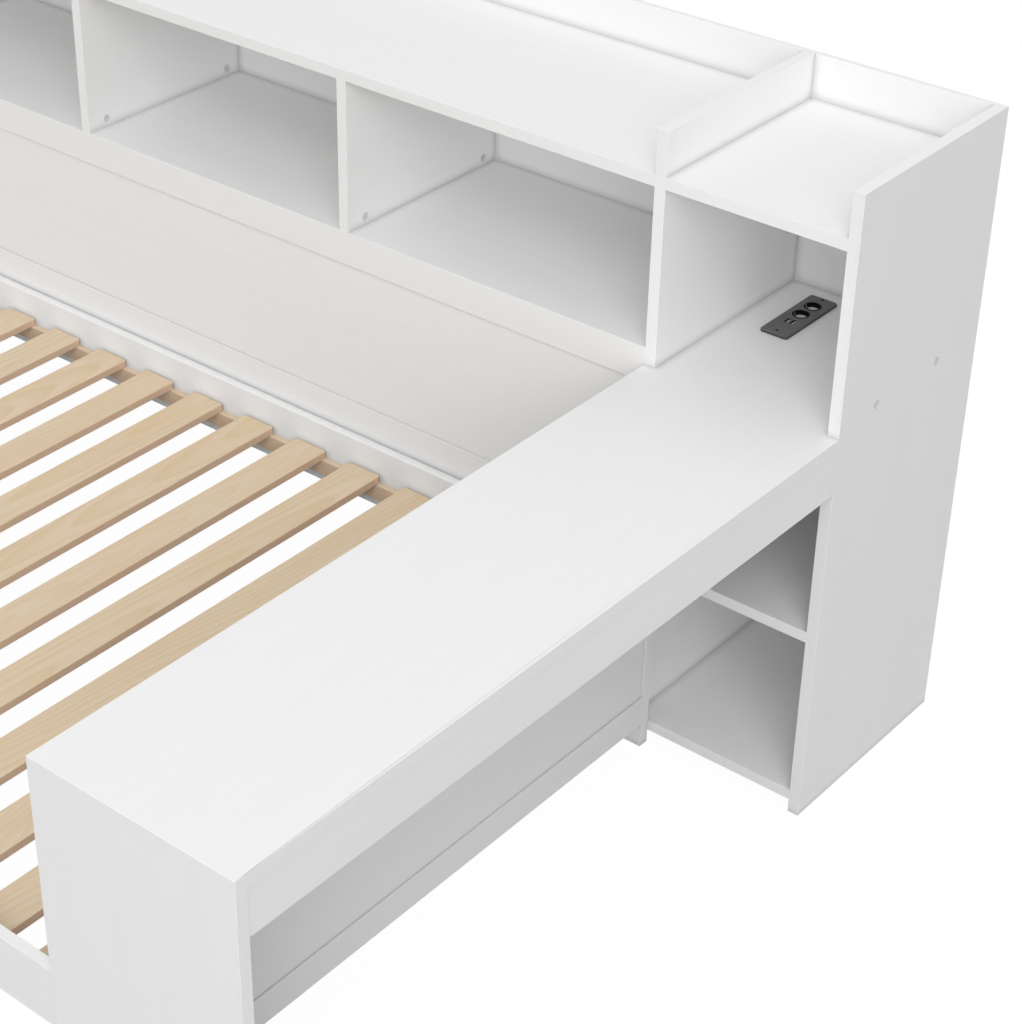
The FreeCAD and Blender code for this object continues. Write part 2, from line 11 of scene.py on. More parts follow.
import bpy
from bpy.types import Material, MeshPolygon, Node, NodeOutputs, NodeSocket, NodeTree, Object
from mathutils import Matrix, Vector


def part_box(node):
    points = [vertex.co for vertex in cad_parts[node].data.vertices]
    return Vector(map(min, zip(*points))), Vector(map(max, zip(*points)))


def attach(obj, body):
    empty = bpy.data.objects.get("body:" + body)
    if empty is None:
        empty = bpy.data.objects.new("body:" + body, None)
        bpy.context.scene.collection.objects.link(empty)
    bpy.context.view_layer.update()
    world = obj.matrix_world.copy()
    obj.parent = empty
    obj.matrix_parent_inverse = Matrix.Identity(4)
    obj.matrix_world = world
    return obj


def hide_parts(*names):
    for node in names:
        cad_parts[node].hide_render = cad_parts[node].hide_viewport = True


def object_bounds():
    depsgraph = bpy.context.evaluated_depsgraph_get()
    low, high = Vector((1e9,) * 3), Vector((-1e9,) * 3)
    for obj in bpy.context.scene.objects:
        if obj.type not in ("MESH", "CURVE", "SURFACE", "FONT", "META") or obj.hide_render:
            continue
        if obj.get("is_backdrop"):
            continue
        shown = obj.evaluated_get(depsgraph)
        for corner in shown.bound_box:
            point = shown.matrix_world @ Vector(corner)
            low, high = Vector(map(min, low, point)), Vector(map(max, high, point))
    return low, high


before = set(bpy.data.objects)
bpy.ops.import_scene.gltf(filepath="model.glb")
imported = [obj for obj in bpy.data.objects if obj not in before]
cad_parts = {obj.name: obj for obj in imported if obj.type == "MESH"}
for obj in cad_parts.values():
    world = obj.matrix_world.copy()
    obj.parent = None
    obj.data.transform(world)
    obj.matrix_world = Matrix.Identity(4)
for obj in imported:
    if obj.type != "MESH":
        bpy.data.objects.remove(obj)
CAD_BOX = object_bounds()

MM = 0.001
BODY = "root"
SMOOTH_ANGLE = math.radians(50)
SHARP_ANGLE = math.radians(60)
MERGE_DISTANCE = 0.002 * MM
FLAT_ANGLE = math.radians(0.5)
NEAR = 0.01 * MM  # how close two places are taken for one
SQUARE = 0.99  # the least share of a normal along an axis for a face that looks that way
MIDDLE = (0.3, 0.7)  # where most of a noise, or the turn from level to upright, lies

log = logging.getLogger("bed_with_desk")

Colour = tuple[float, float, float, float]


def grey(level: float) -> Colour:
    """A neutral colour of one linear level."""
    return (level, level, level, 1.0)


class Slot(Enum):
    """The record's material slots that new pieces belong to."""

    WHITE = "white_laminate"
    WOOD = "slat_wood"
    DARK = "dark_plastic"
    SCREW = "black_screw"
    ZINC = "zinc"


class Pick(Enum):
    """What an edit selects."""

    EDGES = (False, True, False)
    FACES = (False, False, True)


class Joint(Enum):
    """How a corner of a board meets the boards beside it."""

    FREE = "open to the air"
    BUTT = "against the face of another board"
    CLOSED = "flush or hidden"


class Run(Enum):
    """The direction that a board's grain runs in, with the turn that brings it to Y."""

    X = (0.0, 0.0, math.pi / 2)
    Y = (0.0, 0.0, 0.0)
    Z = (math.pi / 2, 0.0, 0.0)


# Work at the modelling bench


def take_up(piece: Object) -> None:
    """Make a piece the only selected object, and the active one.

    Args:
        piece: the object.
    """
    bpy.ops.object.select_all(action="DESELECT")
    piece.select_set(True)
    bpy.context.view_layer.objects.active = piece


@contextmanager
def editing(piece: Object, pick: Pick = Pick.FACES) -> Iterator[None]:
    """Open a piece in edit mode.

    Args:
        piece: the object to edit.
        pick: whether edges or faces are selected.
    """
    take_up(piece)
    bpy.context.tool_settings.mesh_select_mode = pick.value
    bpy.ops.object.mode_set(mode="EDIT")
    yield
    bpy.ops.object.mode_set(mode="OBJECT")


def pick_faces(piece: Object, wanted: Callable[[MeshPolygon], bool]) -> None:
    """Select the faces that a test names, and nothing else.

    Args:
        piece: the object, in object mode.
        wanted: the test of one face.
    """
    mesh = piece.data
    mesh.vertices.foreach_set("select", [False] * len(mesh.vertices))
    mesh.edges.foreach_set("select", [False] * len(mesh.edges))
    mesh.polygons.foreach_set("select", [wanted(face) for face in mesh.polygons])


def edge_ends(piece: Object, index: int) -> list[Vector]:
    """The two ends of an edge, given by its index."""
    return [piece.data.vertices[end].co.copy() for end in piece.data.edges[index].vertices]


def pick_edges(piece: Object, wanted: Callable[[int], bool]) -> int:
    """Select the edges that a test names, and nothing else.

    Args:
        piece: the object, in object mode.
        wanted: the test of one edge, given by its index.

    Returns:
        How many edges are selected.
    """
    pick_faces(piece, lambda face: False)
    chosen = [edge for edge in piece.data.edges if wanted(edge.index)]
    for edge in chosen:
        edge.select = True
        for index in edge.vertices:
            piece.data.vertices[index].select = True
    return len(chosen)


def apply_modifier(piece: Object, kind: str, **settings: object) -> None:
    """Add a modifier and apply it.

    Args:
        piece: the object.
        kind: the modifier's type.
        settings: its properties.
    """
    take_up(piece)
    modifier = piece.modifiers.new(kind.lower(), kind)
    for key, value in settings.items():
        setattr(modifier, key, value)
    bpy.ops.object.modifier_apply(modifier=modifier.name)


def bevel_sharp(piece: Object, width: float, steps: int) -> None:
    """Bevel the sharp edges of a thin piece."""
    apply_modifier(piece, "BEVEL", width=width, segments=steps, limit_method="ANGLE")


def settle_shading(piece: Object) -> None:
    """Shade round edges smooth while the flat faces stay flat.

    Args:
        piece: the object.
    """
    take_up(piece)
    bpy.ops.object.shade_smooth_by_angle(angle=SMOOTH_ANGLE)
    apply_modifier(piece, "WEIGHTED_NORMAL", keep_sharp=True)


def copy_node(node: str, name: str) -> Object:
    """Copy a node's mesh as a new piece, with its loose triangles joined into whole faces.

    Args:
        node: the node to copy.
        name: the new piece's name.

    Returns:
        The new piece, in the node's place.
    """
    piece = bpy.data.objects.new(name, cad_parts[node].data.copy())
    bpy.context.scene.collection.objects.link(piece)
    take_up(piece)
    bpy.ops.mesh.customdata_custom_splitnormals_clear()
    with editing(piece, Pick.EDGES):
        bpy.ops.mesh.select_all(action="SELECT")
        bpy.ops.mesh.remove_doubles(threshold=MERGE_DISTANCE)
        bpy.ops.mesh.dissolve_limited(angle_limit=FLAT_ANGLE)
    return piece


@dataclass(frozen=True)
class Corner:
    """A sharp outer corner of a piece, with the normals of its two faces."""

    start: Vector
    end: Vector
    normals: tuple[Vector, Vector]


def outer_corners(piece: Object) -> dict[int, Corner]:
    """The sharp outer corners of a piece.

    Args:
        piece: the object, in object mode.

    Returns:
        Each corner, by its edge's index.
    """
    index_of = {edge.key: edge.index for edge in piece.data.edges}
    faces: dict[int, list[MeshPolygon]] = {}
    for face in piece.data.polygons:
        for key in face.edge_keys:
            faces.setdefault(index_of[key], []).append(face)
    found = {}
    for index, (first, second) in ((index, pair) for index, pair in faces.items() if len(pair) == 2):
        outer = first.normal.dot(second.center - first.center) < 0
        if outer and first.normal.angle(second.normal, 0.0) > SHARP_ANGLE:
            normals = (first.normal.copy(), second.normal.copy())
            found[index] = Corner(*edge_ends(piece, index), normals)
    return found


def round_corners(piece: Object, radius: float, steps: int, wanted: Callable[[Corner], bool]) -> None:
    """Round the outer corners that pass a test.

    Args:
        piece: the object, in object mode.
        radius: the rounding.
        steps: how many faces round each corner.
        wanted: the test of one corner.
    """
    corners = outer_corners(piece)
    if pick_edges(piece, lambda index: index in corners and wanted(corners[index])):
        with editing(piece, Pick.EDGES):
            bpy.ops.mesh.bevel(offset=radius, segments=steps, affect="EDGES")


def dress(piece: Object, material: Material) -> None:
    """Give a piece one material."""
    piece.data.materials.clear()
    piece.data.materials.append(material)


def fit(piece: Object, slot: Slot, material: Material, *nodes: str) -> None:
    """Dress a new piece, tie it to the part and report it.

    Args:
        piece: the finished piece.
        slot: the record's slot that its finish belongs to; not used.
        material: its material.
        nodes: the nodes that it stands for.
    """
    dress(piece, material)
    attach(piece, BODY)
    if nodes:
        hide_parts(*nodes)
    for node in nodes:
        dress(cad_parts[node], material)
    log.info("%s: %d faces", piece.name, len(piece.data.polygons))


# Shared effects


class Wiring:
    """A node tree being wired."""

    def __init__(self, tree: NodeTree) -> None:
        """Start on a tree."""
        self.tree = tree

    def node(self, kind: str, **settings: object) -> Node:
        """Add a node.

        Args:
            kind: the node's type.
            settings: its properties.

        Returns:
            The new node.
        """
        made = self.tree.nodes.new(kind)
        for key, value in settings.items():
            setattr(made, key, value)
        return made

    def feed(self, socket: NodeSocket, value: object) -> None:
        """Give a socket its value.

        Args:
            socket: the input.
            value: another socket to join it to, or a plain value.
        """
        if isinstance(value, NodeSocket):
            self.tree.links.new(value, socket)
        else:
            socket.default_value = value

    def run(self, kind: str, *values: object, **settings: object) -> NodeSocket:
        """Add a node and feed its inputs in order.

        Args:
            kind: the node's type.
            values: a socket or a plain value for each input.
            settings: its properties.

        Returns:
            The node's first output.
        """
        made = self.node(kind, **settings)
        for socket, value in zip(made.inputs, values):
            self.feed(socket, value)
        return made.outputs[0]

    def math(self, operation: str, *values: object) -> NodeSocket:
        """Add a Math node on up to three sockets or numbers."""
        return self.run("ShaderNodeMath", *values, operation=operation)

    def vector(self, operation: str, *values: object) -> NodeSocket:
        """Add a Vector Math node on up to three sockets or vectors."""
        return self.run("ShaderNodeVectorMath", *values, operation=operation)

    def split(self, vector: NodeSocket) -> tuple[NodeSocket, ...]:
        """The three parts of a vector."""
        return tuple(self.run("ShaderNodeSeparateXYZ", vector).node.outputs)

    def spread(self, value: object, *ends: float) -> NodeSocket:
        """Carry a value from one low and high end over to another pair, and keep it within them."""
        return self.run("ShaderNodeMapRange", value, *ends)

    def noise(self, vector: NodeSocket, scale: object = 1.0, detail: float = 2.0) -> NodeSocket:
        """Add a Noise Texture.

        Args:
            vector: the coordinates.
            scale: a socket or a number.
            detail: how many finer layers it has.

        Returns:
            The noise, mostly within the middle of 0 to 1.
        """
        made = self.node("ShaderNodeTexNoise", noise_dimensions="3D")
        for label, value in (("Vector", vector), ("Scale", scale), ("Detail", detail)):
            self.feed(made.inputs[label], value)
        return made.outputs[0]

    def blend(self, share: object, first: object, second: object) -> NodeSocket:
        """Mix two colours.

        Args:
            share: how much of the second colour shows.
            first: a socket or a colour.
            second: a socket or a colour.

        Returns:
            The mixed colour.
        """
        made = self.node("ShaderNodeMix", data_type="RGBA")
        colours = [socket for socket in made.inputs if socket.type == "RGBA"]
        for socket, value in zip((made.inputs[0], *colours), (share, first, second)):
            self.feed(socket, value)
        return next(socket for socket in made.outputs if socket.type == "RGBA")


@dataclass
class EffectGroup:
    """A shader node group with named inputs and outputs, built the first time that it is asked for."""

    name: str
    inputs: dict[str, str]
    outputs: tuple[str, ...]
    draw: Callable[[Wiring, NodeOutputs], dict[str, NodeSocket]]

    def tree(self) -> NodeTree:
        """Build the group, or find the one that is there.

        Returns:
            The group's tree.
        """
        found = bpy.data.node_groups.get(self.name)
        if found:
            return found
        tree = bpy.data.node_groups.new(self.name, "ShaderNodeTree")
        for label, kind in self.inputs.items():
            tree.interface.new_socket(name=label, in_out="INPUT", socket_type=kind)
        for label in self.outputs:
            tree.interface.new_socket(name=label, in_out="OUTPUT", socket_type="NodeSocketFloat")
        wiring = Wiring(tree)
        given = wiring.node("NodeGroupInput")
        result = wiring.node("NodeGroupOutput")
        for label, socket in self.draw(wiring, given.outputs).items():
            wiring.feed(result.inputs[label], socket)
        return tree

    def place(self, wiring: Wiring, **values: object) -> NodeOutputs:
        """Put the group into a material.

        Args:
            wiring: the material's tree.
            values: a socket or a number for each input, with the input's name in lower case.

        Returns:
            The group node's outputs.
        """
        made = wiring.node("ShaderNodeGroup", node_tree=self.tree())
        for label in self.inputs:
            wiring.feed(made.inputs[label], values[label.lower().replace(" ", "_")])
        return made.outputs


def draw_pores(wiring: Wiring, given: NodeOutputs) -> dict[str, NodeSocket]:
    """Draw short pores pressed into a laminate along Y, and the slow cloudiness of its print.

    Args:
        wiring: the group's wiring.
        given: its inputs.

    Returns:
        The sockets of its outputs.
    """
    stretch, cloud_scale, pore_edge = (1.0, 0.045, 1.0), 0.06, (0.52, 0.72)
    stretched = wiring.vector("MULTIPLY", given["Vector"], stretch)
    fine = wiring.noise(stretched, given["Scale"], detail=3.0)
    cloud = wiring.noise(stretched, wiring.math("MULTIPLY", given["Scale"], cloud_scale))
    return {"Pores": wiring.spread(fine, *pore_edge, 0.0, 1.0), "Cloud": cloud}


def draw_rings(wiring: Wiring, given: NodeOutputs) -> dict[str, NodeSocket]:
    """Draw the growth rings of a board sawn along the tree, whose run is Y, with fibres and warmer patches.

    Args:
        wiring: the group's wiring.
        given: its inputs.

    Returns:
        The sockets of its outputs.
    """
    pith_aside, pith_below, pith_depth, pith_lean = 0.085, 0.05, 0.04, 0.26
    ring_start, ring_crest, least_ring = 0.25, 0.9, 0.4
    warp_amount, seed_step = 0.034, 9.0
    warp_stretch, fibre_stretch, blush_stretch = (14.0, 3.2, 14.0), (330.0, 11.0, 330.0), (26.0, 4.0, 26.0)
    chance = wiring.node("ShaderNodeTexWhiteNoise", noise_dimensions="1D")
    wiring.feed(chance.inputs["W"], given["Seed"])
    lot = wiring.split(chance.outputs["Color"])
    sideways, under, lean = (wiring.math("SUBTRACT", value, 0.5) for value in lot)
    apart = wiring.vector("SCALE", chance.outputs["Color"])
    apart.node.inputs["Scale"].default_value = seed_step
    moved = wiring.vector("ADD", given["Vector"], apart)
    slow = wiring.noise(wiring.vector("MULTIPLY", moved, warp_stretch))
    warp = wiring.math("MULTIPLY", wiring.math("SUBTRACT", slow, 0.5), warp_amount)
    x, y, z = wiring.split(given["Vector"])
    across = wiring.math("ADD", wiring.math("MULTIPLY_ADD", sideways, pith_aside, x), warp)
    below = wiring.math("ADD", wiring.math("MULTIPLY_ADD", under, pith_below, z), pith_depth)
    squares = [wiring.math("POWER", side, 2.0) for side in (across, below)]
    reach = wiring.math("SQRT", wiring.math("ADD", *squares))
    radius = wiring.math("ADD", wiring.math("MULTIPLY", wiring.math("MULTIPLY", lean, pith_lean), y), reach)
    phase = wiring.math("FRACT", wiring.math("DIVIDE", radius, given["Ring Gap"]))
    rise = wiring.spread(phase, ring_start, ring_crest, 0.0, 1.0)
    fall = wiring.spread(phase, ring_crest, 1.0, 1.0, 0.0)
    strength = wiring.spread(lot[1], 0.0, 1.0, least_ring, 1.0)
    rings = wiring.math("MULTIPLY", wiring.math("MULTIPLY", rise, fall), strength)
    fibres = wiring.noise(wiring.vector("MULTIPLY", moved, fibre_stretch), detail=3.0)
    blush = wiring.noise(wiring.vector("MULTIPLY", moved, blush_stretch))
    return {"Rings": rings, "Fibres": fibres, "Blush": blush}


def draw_mottle(wiring: Wiring, given: NodeOutputs) -> dict[str, NodeSocket]:
    """Draw the fine unevenness of a moulded, plated or rolled surface.

    Args:
        wiring: the group's wiring.
        given: its inputs.

    Returns:
        The sockets of its outputs.
    """
    broad_scale = 0.08
    fine = wiring.noise(given["Vector"], given["Scale"])
    broad = wiring.noise(given["Vector"], wiring.math("MULTIPLY", given["Scale"], broad_scale))
    return {"Fine": fine, "Broad": broad}


VECTOR, NUMBER = "NodeSocketVector", "NodeSocketFloat"
PORES = EffectGroup("pressed_pores", {"Vector": VECTOR, "Scale": NUMBER}, ("Pores", "Cloud"), draw_pores)
RINGS = EffectGroup(
    "growth_rings",
    {"Vector": VECTOR, "Seed": NUMBER, "Ring Gap": NUMBER},
    ("Rings", "Fibres", "Blush"),
    draw_rings,
)
MOTTLE = EffectGroup("mottle", {"Vector": VECTOR, "Scale": NUMBER}, ("Fine", "Broad"), draw_mottle)


# Finishes


@dataclass(frozen=True)
class Finish:
    """What every finish has: a name, and the plain values of its shader."""

    name: str
    metallic: float = 0.0
    specular: float = 0.5
    bump_strength: float = 0.3
    bump_depth: float = 0.1 * MM

    def start(self, name: str) -> tuple[Material, Wiring, Node, NodeSocket]:
        """Begin the material.

        Args:
            name: the material's name.

        Returns:
            The material, its wiring, its shader and the Object coordinates.
        """
        material = bpy.data.materials.new(name)
        material.use_nodes = True
        wiring = Wiring(material.node_tree)
        shader = material.node_tree.nodes["Principled BSDF"]
        shader.inputs["Metallic"].default_value = self.metallic
        shader.inputs["Specular IOR Level"].default_value = self.specular
        place = wiring.node("ShaderNodeTexCoord").outputs["Object"]
        return material, wiring, shader, place

    def turned(self, wiring: Wiring, place: NodeSocket, run: Run) -> NodeSocket:
        """Turn the Object coordinates so that the grain runs along Y."""
        return wiring.run("ShaderNodeMapping", place, (0.0, 0.0, 0.0), run.value)

    def upright(self, wiring: Wiring, share: float) -> NodeSocket:
        """A mask of the faces that stand upright.

        Args:
            wiring: the material's wiring.
            share: the mask's value on those faces.

        Returns:
            The mask, 0 on level faces.
        """
        level = wiring.split(wiring.node("ShaderNodeTexCoord").outputs["Normal"])[2]
        return wiring.spread(wiring.math("ABSOLUTE", level), *MIDDLE, share, 0.0)

    def emboss(self, wiring: Wiring, shader: Node, height: NodeSocket) -> None:
        """Press a height into the surface.

        Args:
            wiring: the material's wiring.
            shader: its shader.
            height: the height, from 0 to 1.
        """
        bump = wiring.node("ShaderNodeBump")
        bump.inputs["Strength"].default_value = self.bump_strength
        bump.inputs["Distance"].default_value = self.bump_depth
        wiring.feed(bump.inputs["Height"], height)
        wiring.feed(shader.inputs["Normal"], bump.outputs["Normal"])


@dataclass(frozen=True)
class Laminate(Finish):
    """White laminate with a pressed grain that runs along the board, and painted shade in the corners where
    boards meet.
    """

    face: Colour = grey(0.90)
    pore: Colour = grey(0.88)
    # painted shade: the colour that the corners where boards meet are darkened towards
    joint: Colour = grey(0.70)
    corner_shade_reach: float = 14 * MM
    corner_shade_open: tuple[float, float] = (0.5, 0.92)
    corner_shade_samples: int = 8
    pore_scale: float = 900.0
    pore_share: float = 0.6
    cloud_share: float = 0.4
    roughness: tuple[float, float] = (0.42, 0.52)

    def material(self, run: Run) -> Material:
        """Make the laminate for boards of one run.

        Args:
            run: the grain's direction.

        Returns:
            The material, made once for each run.
        """
        name = f"{self.name}_{run.name.lower()}"
        if name in bpy.data.materials:
            return bpy.data.materials[name]
        material, wiring, shader, place = self.start(name)
        pores = PORES.place(wiring, vector=self.turned(wiring, place, run), scale=self.pore_scale)
        cloud = wiring.spread(pores["Cloud"], *MIDDLE, 0.0, self.cloud_share)
        shade = wiring.math("MULTIPLY_ADD", pores["Pores"], self.pore_share, cloud)
        open_face = wiring.blend(shade, self.face, self.pore)
        # painted shade darkens the face in the corners where another board is met
        wiring.feed(shader.inputs["Base Color"], wiring.blend(self.painted_corner_shade(wiring), open_face, self.joint))
        wiring.feed(shader.inputs["Roughness"], wiring.spread(pores["Cloud"], *MIDDLE, *self.roughness))
        self.emboss(wiring, shader, wiring.math("SUBTRACT", 1.0, pores["Pores"]))
        return material

    def painted_corner_shade(self, wiring: Wiring) -> NodeSocket:
        """A mask of painted shade in the corners where another board is met, read from the ambient occlusion
        nearby.

        Args:
            wiring: the material's wiring.

        Returns:
            The mask, 1 in the corner and 0 past the reach.
        """
        corner = wiring.node("ShaderNodeAmbientOcclusion", samples=self.corner_shade_samples)
        corner.inputs["Distance"].default_value = self.corner_shade_reach
        return wiring.spread(corner.outputs["AO"], *self.corner_shade_open, 1.0, 0.0)


@dataclass(frozen=True)
class SawnWood(Finish):
    """Pale sawn wood, whose pieces are told apart by their place across the grain."""

    early: Colour = (0.745, 0.61, 0.446, 1.0)
    late: Colour = (0.66, 0.49, 0.26, 1.0)
    blush: Colour = (0.73, 0.56, 0.39, 1.0)
    # upright faces: partly the darker, redder colour of sawn wood, partly painted shade
    sawn: Colour = (0.74, 0.50, 0.345, 1.0)
    sawn_and_shade_share: float = 0.0
    # painted light: the paler tint that light bounced off the wood takes, in place of the wood's colour
    bounced_light_tint: Colour = (0.66, 0.60, 0.52, 1.0)
    blush_edge: tuple[float, float] = (0.42, 0.68)
    blush_share: float = 0.8
    ring_share: float = 0.62
    streak_edge: tuple[float, float] = (0.5, 0.75)
    streak_share: float = 0.4
    roughness: tuple[float, float] = (0.52, 0.66)
    ring_gap: float = 7 * MM
    pith: float = 0.3
    run: Run = Run.Y
    first_edge: float = 0.0
    pitch: float = 1.0
    top: float = 0.25

    def material(self) -> Material:
        """Make the wood.

        Returns:
            The material.
        """
        material, wiring, shader, place = self.start(self.name)
        x, y, z = wiring.split(self.turned(wiring, place, self.run))
        steps = wiring.math("DIVIDE", wiring.math("SUBTRACT", x, self.first_edge), self.pitch)
        seed = wiring.math("FLOOR", steps)
        inside = wiring.math("MULTIPLY_ADD", wiring.math("FRACT", steps), self.pitch, -self.pith * self.pitch)
        local = wiring.run("ShaderNodeCombineXYZ", inside, y, wiring.math("SUBTRACT", z, self.top))
        grain = RINGS.place(wiring, vector=local, seed=seed, ring_gap=self.ring_gap)
        warmth = wiring.spread(grain["Blush"], *self.blush_edge, 0.0, self.blush_share)
        streak = wiring.spread(grain["Fibres"], *self.streak_edge, 0.0, self.streak_share)
        warm = wiring.blend(warmth, self.early, self.blush)
        ringed = wiring.blend(wiring.math("MULTIPLY", grain["Rings"], self.ring_share), warm, self.late)
        streaked = wiring.blend(streak, ringed, self.late)
        # the upright faces take the sawn colour: partly the wood's own, partly painted shade
        wood = wiring.blend(self.upright(wiring, self.sawn_and_shade_share), streaked, self.sawn)
        # painted light: bounced rays see the paler tint, so the boards near the wood take less of its warm
        # light
        bounced = wiring.node("ShaderNodeLightPath").outputs["Is Diffuse Ray"]
        wiring.feed(shader.inputs["Base Color"], wiring.blend(bounced, wood, self.bounced_light_tint))
        wiring.feed(shader.inputs["Roughness"], wiring.spread(grain["Fibres"], *MIDDLE, *self.roughness))
        self.emboss(wiring, shader, grain["Fibres"])
        return material


@dataclass(frozen=True)
class Mottled(Finish):
    """A moulded, plated or painted finish with a fine unevenness."""

    light: Colour = grey(0.5)
    dark: Colour = grey(0.4)
    # colour of the upright faces, used as painted shade on the plate's sides
    side: Colour = grey(0.4)
    side_shade_share: float = 0.0
    scale: float = 2500.0
    roughness: tuple[float, float] = (0.4, 0.5)

    def material(self) -> Material:
        """Make the finish.

        Returns:
            The material, made once.
        """
        if self.name in bpy.data.materials:
            return bpy.data.materials[self.name]
        material, wiring, shader, place = self.start(self.name)
        mottle = MOTTLE.place(wiring, vector=place, scale=self.scale)
        face = wiring.blend(wiring.spread(mottle["Broad"], *MIDDLE, 0.0, 1.0), self.light, self.dark)
        # painted shade on the upright faces
        colour = wiring.blend(self.upright(wiring, self.side_shade_share), face, self.side)
        wiring.feed(shader.inputs["Base Color"], colour)
        wiring.feed(shader.inputs["Roughness"], wiring.spread(mottle["Fine"], *MIDDLE, *self.roughness))
        self.emboss(wiring, shader, mottle["Fine"])
        return material


MOULDED = Mottled(
    "moulded_plastic",
    light=grey(0.150),
    dark=grey(0.130),
    # painted shade: the plate's upright sides are near black
    side=grey(0.04),
    side_shade_share=0.9,
    roughness=(0.5, 0.62),
)
# near black and barely glossy: the flanges' own colour, and painted shade where it lines the wells and ports
CUP_AND_SHADE_PLASTIC = Mottled("cup_and_shade_plastic", specular=0.04, light=grey(0.009), dark=grey(0.005))
INSERT_PLASTIC = Mottled("insert_plastic", light=grey(0.92), dark=grey(0.87))
SCREW_PAINT = Mottled(
    "screw_paint", specular=0.05, light=grey(0.011), dark=grey(0.006), roughness=(0.45, 0.6)
)
ZINC = Mottled(
    "zinc_plate", metallic=0.25, light=grey(0.74), dark=grey(0.66), scale=900.0, roughness=(0.35, 0.48)
)
SPRING_STEEL = Mottled(
    "spring_steel", metallic=0.9, light=grey(0.50), dark=grey(0.42), scale=900.0, roughness=(0.3, 0.4)
)


# Sub-assemblies


@dataclass
class BoardWork:
    """Laminated boards of one sub-assembly, whose free edges are eased."""

    prefixes: ClassVar[tuple[str, ...]] = ()
    laminate: Laminate
    edge_radius: float = 0.5 * MM
    seam_radius: float = 0.7 * MM
    edge_steps: int = 2
    shortest_edge: float = 8 * MM
    probe: float = 1.2 * MM
    probe_shares: tuple[float, ...] = (0.2, 0.5, 0.8)
    cut_digits: int = 5

    def nodes(self) -> list[str]:
        """The nodes of this sub-assembly."""
        return [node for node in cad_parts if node.startswith(self.prefixes)]

    def run(self, node: str) -> Run:
        """The grain's run in a board, along its longest side.

        Args:
            node: the board.

        Returns:
            The run.
        """
        low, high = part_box(node)
        size = high - low
        return (Run.X, Run.Y, Run.Z)[max(range(3), key=lambda axis: size[axis])]

    def joint(self, node: str, corner: Corner) -> Joint:
        """How a corner of a board meets its neighbours.

        Args:
            node: the board that the corner belongs to.
            corner: the corner.

        Returns:
            Whether the corner is free, butts against a board's face, or is closed in another way.
        """
        first, second = (normal * self.probe for normal in corner.normals)
        others = [box for name, box in BOARD_BOXES.items() if name != node]

        def filled(offset: Vector) -> bool:
            """Whether a neighbour fills the room on one side of the corner."""
            spots = [corner.start.lerp(corner.end, share) + offset for share in self.probe_shares]
            return any(holds(box, spot) for box in others for spot in spots)

        before, behind, across = filled(first - second), filled(second - first), filled(first + second)
        if not (before or behind or across):
            return Joint.FREE
        return Joint.BUTT if across and before != behind else Joint.CLOSED

    def build(self) -> None:
        """Ease every board and dress it."""
        for node in self.nodes():
            board = copy_node(node, f"{node}_board")
            self.split(node, board)
            self.ease(node, board)
            take_up(board)
            bpy.ops.object.shade_flat()
            fit(board, Slot.WHITE, self.laminate.material(self.run(node)), node)

    def split(self, node: str, board: Object) -> None:
        """Cut a board's faces where its neighbours begin and end.

        Args:
            node: the node that the board was copied from.
            board: the copy.
        """
        low, high = BOARD_BOXES[node]
        reach = Vector((self.probe,) * 3)
        cuts = set()
        for name, box in BOARD_BOXES.items():
            if name == node or not meets((low - reach, high + reach), box):
                continue
            for axis in range(3):
                first, last = low[axis] + self.probe, high[axis] - self.probe
                cuts.update((axis, round(at[axis], self.cut_digits)) for at in box if first < at[axis] < last)
        for axis, at in sorted(cuts):
            normal = Vector.Fill(3, 0.0)
            normal[axis] = 1.0
            with editing(board, Pick.EDGES):
                bpy.ops.mesh.select_all(action="SELECT")
                bpy.ops.mesh.bisect(plane_co=normal * at, plane_no=normal)

    def ease(self, node: str, board: Object) -> None:
        """Round a board's free edges, and those that butt against another board.

        Args:
            node: the node that the board was copied from.
            board: the copy.
        """
        for joint, radius in ((Joint.BUTT, self.seam_radius), (Joint.FREE, self.edge_radius)):

            def wanted(corner: Corner) -> bool:
                """Whether a corner is long enough to round and has this joint."""
                is_long = (corner.end - corner.start).length >= self.shortest_edge
                return is_long and self.joint(node, corner) is joint

            round_corners(board, radius, self.edge_steps, wanted)


def holds(box: tuple[Vector, Vector], point: Vector) -> bool:
    """Whether a box holds a point."""
    low, high = box
    return all(low[axis] < point[axis] < high[axis] for axis in range(3))


def meets(box: tuple[Vector, Vector], other: tuple[Vector, Vector]) -> bool:
    """Whether two boxes share some room."""
    return all(box[0][axis] < other[1][axis] and other[0][axis] < box[1][axis] for axis in range(3))


@dataclass
class Desk(BoardWork):
    """The desk board, its end panel and its apron."""

    prefixes: ClassVar[tuple[str, ...]] = ("desk_",)


@dataclass
class Tower(BoardWork):
    """The shelf tower at the corner."""

    prefixes: ClassVar[tuple[str, ...]] = ("tower_",)

    def run(self, node: str) -> Run:
        """The grain's run in a board, which stands upright in the sides."""
        return Run.Z if "_side_" in node else super().run(node)


@dataclass
class Bookcase(BoardWork):
    """The bookcase along the bed, and its frame and panel."""

    prefixes: ClassVar[tuple[str, ...]] = ("bookcase_", "back_frame_")


@dataclass
class BedFrame(BoardWork):
    """The head, the foot and the side rails."""

    prefixes: ClassVar[tuple[str, ...]] = ("head_", "foot_", "side_rail_")


BOARD_PREFIXES = (*Desk.prefixes, *Tower.prefixes, *Bookcase.prefixes, *BedFrame.prefixes)
BOARD_BOXES = {node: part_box(node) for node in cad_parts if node.startswith(BOARD_PREFIXES)}


